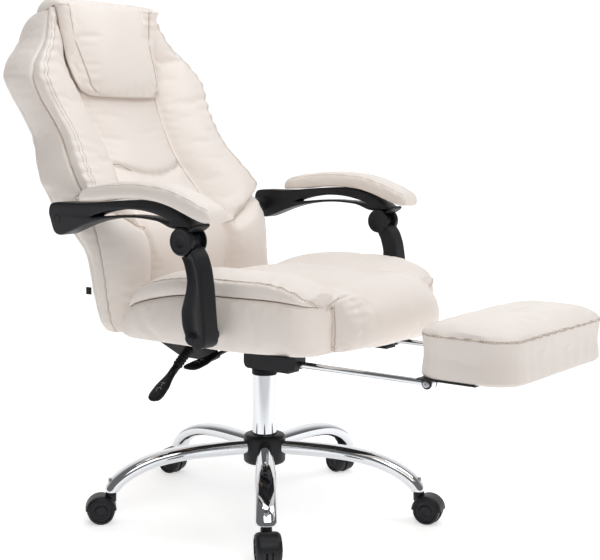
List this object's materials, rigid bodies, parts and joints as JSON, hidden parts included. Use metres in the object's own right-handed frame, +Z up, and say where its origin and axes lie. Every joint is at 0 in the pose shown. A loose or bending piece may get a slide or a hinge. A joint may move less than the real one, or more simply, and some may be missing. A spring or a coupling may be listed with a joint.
{
  "type": "reclining office chair with footrest",
  "caption": "High-back padded swivel chair with padded link arms, a reclining back, a slide-out footrest that flips under the seat, a gas column and a star base on casters.",
  "frame": {"origin": "on the floor, at the centre of the chair's bounding box seen from above", "axes": "+Z up, -Y the way the sitter faces, -X the sitter's right hand"},
  "size_m": [0.6696, 1.141, 1.003],
  "materials": {
    "cream_cover": "smooth cream artificial leather, satin, with fine grain, over foam",
    "black_plastic": "satin black moulded plastic",
    "black_nylon": "semi-matt black nylon",
    "black_rubber": "soft black ribbed sleeve",
    "chrome": "mirror chrome plating",
    "bare_steel": "bright zinc-plated steel",
    "black_steel": "black powder coat, fine texture",
    "plywood": "bare plywood"
  },
  "bodies": {
    "base": {"base_hub_socket": "bare_steel", "base_hub_cover": "black_plastic", "base_leg_1": "chrome", "base_leg_2": "chrome", "base_leg_3": "chrome", "base_leg_4": "chrome", "base_leg_5": "chrome", "gas_lift_outer_tube": "chrome", "gas_lift_guide_bush": "black_plastic"},
    "caster_1": {"caster_stem_1": "bare_steel", "caster_hood_1": "black_plastic"},
    "caster_2": {"caster_stem_2": "bare_steel", "caster_hood_2": "black_plastic"},
    "caster_3": {"caster_stem_3": "bare_steel", "caster_hood_3": "black_plastic"},
    "caster_4": {"caster_stem_4": "bare_steel", "caster_hood_4": "black_plastic"},
    "caster_5": {"caster_stem_5": "bare_steel", "caster_hood_5": "black_plastic"},
    "wheels_1": {"caster_wheel_1_right": "black_nylon", "caster_wheel_1_left": "black_nylon"},
    "wheels_2": {"caster_wheel_2_right": "black_nylon", "caster_wheel_2_left": "black_nylon"},
    "wheels_3": {"caster_wheel_3_right": "black_nylon", "caster_wheel_3_left": "black_nylon"},
    "wheels_4": {"caster_wheel_4_right": "black_nylon", "caster_wheel_4_left": "black_nylon"},
    "wheels_5": {"caster_wheel_5_right": "black_nylon", "caster_wheel_5_left": "black_nylon"},
    "spindle": {"gas_lift_piston_rod": "bare_steel"},
    "seat": {"gas_lift_cylinder": "chrome", "seat_mount_plate": "black_steel", "seat_board": "plywood", "seat_cushion": "cream_cover", "seat_top_pad": "cream_cover", "back_hinge_right": "black_steel", "back_hinge_left": "black_steel", "footrest_guide_right": "black_plastic", "footrest_guide_left": "black_plastic"},
    "back": {"back_casing": "cream_cover", "back_pad": "cream_cover", "headrest_pillow": "cream_cover", "back_hinge_pin": "bare_steel"},
    "arm_right": {"arm_frame_right": "black_plastic", "arm_pad_right": "cream_cover"},
    "arm_left": {"arm_frame_left": "black_plastic", "arm_pad_left": "cream_cover"},
    "post_right": {"arm_post_right": "black_plastic"},
    "post_left": {"arm_post_left": "black_plastic"},
    "footrest_rods": {"footrest_rod_right": "chrome", "footrest_rod_left": "chrome"},
    "footrest": {"footrest_bracket_right": "black_steel", "footrest_bracket_left": "black_steel", "footrest_pad": "cream_cover"},
    "lift_lever": {"lift_lever_arm": "black_steel", "lift_lever_sleeve": "black_rubber", "lift_lever_paddle": "black_plastic"},
    "recline_lever": {"recline_lever_arm": "black_steel", "recline_lever_paddle": "black_plastic"}
  },
  "joints": [
    {"name": "caster_swivel_1", "type": "hinge", "parent": "base", "child": "caster_1", "pos_m": [-0.23881, -0.14082, 0.061], "axis": [0, 0, 1], "continuous": true},
    {"name": "caster_swivel_2", "type": "hinge", "parent": "base", "child": "caster_2", "pos_m": [0.10816, -0.23575, 0.061], "axis": [0, 0, 1], "continuous": true},
    {"name": "caster_swivel_3", "type": "hinge", "parent": "base", "child": "caster_3", "pos_m": [0.30566, 0.06491, 0.061], "axis": [0, 0, 1], "continuous": true},
    {"name": "caster_swivel_4", "type": "hinge", "parent": "base", "child": "caster_4", "pos_m": [0.08075, 0.34565, 0.061], "axis": [0, 0, 1], "continuous": true},
    {"name": "caster_swivel_5", "type": "hinge", "parent": "base", "child": "caster_5", "pos_m": [-0.25576, 0.2185, 0.061], "axis": [0, 0, 1], "continuous": true},
    {"name": "wheel_spin_1", "type": "hinge", "parent": "caster_1", "child": "wheels_1", "pos_m": [-0.25184, -0.15465, 0.025], "axis": [0.7278, -0.6858, 0], "continuous": true},
    {"name": "wheel_spin_2", "type": "hinge", "parent": "caster_2", "child": "wheels_2", "pos_m": [0.11298, -0.25412, 0.025], "axis": [0.9673, 0.2538, 0], "continuous": true},
    {"name": "wheel_spin_3", "type": "hinge", "parent": "caster_3", "child": "wheels_3", "pos_m": [0.30873, 0.08366, 0.025], "axis": [-0.9869, 0.1616, 0], "continuous": true},
    {"name": "wheel_spin_4", "type": "hinge", "parent": "caster_4", "child": "wheels_4", "pos_m": [0.07754, 0.36438, 0.025], "axis": [-0.9857, -0.1685, 0], "continuous": true},
    {"name": "wheel_spin_5", "type": "hinge", "parent": "caster_5", "child": "wheels_5", "pos_m": [-0.26958, 0.23153, 0.025], "axis": [-0.6858, -0.7278, 0], "continuous": true},
    {"name": "seat_swivel", "type": "hinge", "parent": "base", "child": "spindle", "pos_m": [0, 0.0505, 0.2], "axis": [0, 0, 1], "continuous": true},
    {"name": "seat_height", "type": "slide", "parent": "spindle", "child": "seat", "axis": [0, 0, 1], "range_m": [0, 0.08]},
    {"name": "back_recline", "type": "hinge", "parent": "seat", "child": "back", "pos_m": [0, 0.2625, 0.412], "axis": [-1, 0, 0], "range_deg": [-14, 20]},
    {"name": "arm_pivot_right", "type": "hinge", "parent": "back", "child": "arm_right", "pos_m": [-0.304, 0.2805, 0.575], "axis": [-1, 0, 0], "range_deg": [-20, 14]},
    {"name": "arm_pivot_left", "type": "hinge", "parent": "back", "child": "arm_left", "pos_m": [0.304, 0.2805, 0.575], "axis": [-1, 0, 0], "range_deg": [-20, 14]},
    {"name": "post_pivot_right", "type": "hinge", "parent": "seat", "child": "post_right", "pos_m": [-0.304, -0.0415, 0.387], "axis": [-1, 0, 0], "range_deg": [-14, 20]},
    {"name": "post_pivot_left", "type": "hinge", "parent": "seat", "child": "post_left", "pos_m": [0.304, -0.0415, 0.387], "axis": [-1, 0, 0], "range_deg": [-14, 20]},
    {"name": "footrest_slide", "type": "slide", "parent": "seat", "child": "footrest_rods", "axis": [0, 1, 0], "range_m": [0, 0.1]},
    {"name": "footrest_flip", "type": "hinge", "parent": "footrest_rods", "child": "footrest", "pos_m": [0, -0.4125, 0.331], "axis": [1, 0, 0], "range_deg": [0, 180]},
    {"name": "lift_lever_pivot", "type": "hinge", "parent": "seat", "child": "lift_lever", "pos_m": [-0.056, 0.1085, 0.336], "axis": [0, 1, 0], "range_deg": [0, 6], "stiffness_Nm_per_rad": 4},
    {"name": "recline_lever_pivot", "type": "hinge", "parent": "seat", "child": "recline_lever", "pos_m": [-0.056, 0.0555, 0.334], "axis": [0, 1, 0], "range_deg": [0, 6], "stiffness_Nm_per_rad": 4}
  ],
  "couplings": [
    {"joint": "arm_pivot_right", "follows": "back_recline", "ratio": -1},
    {"joint": "arm_pivot_left", "follows": "back_recline", "ratio": -1},
    {"joint": "post_pivot_right", "follows": "back_recline", "ratio": 1},
    {"joint": "post_pivot_left", "follows": "back_recline", "ratio": 1},
    {"joint": "footrest_flip", "follows": "footrest_slide", "rad_per_m": 31.416}
  ]
}
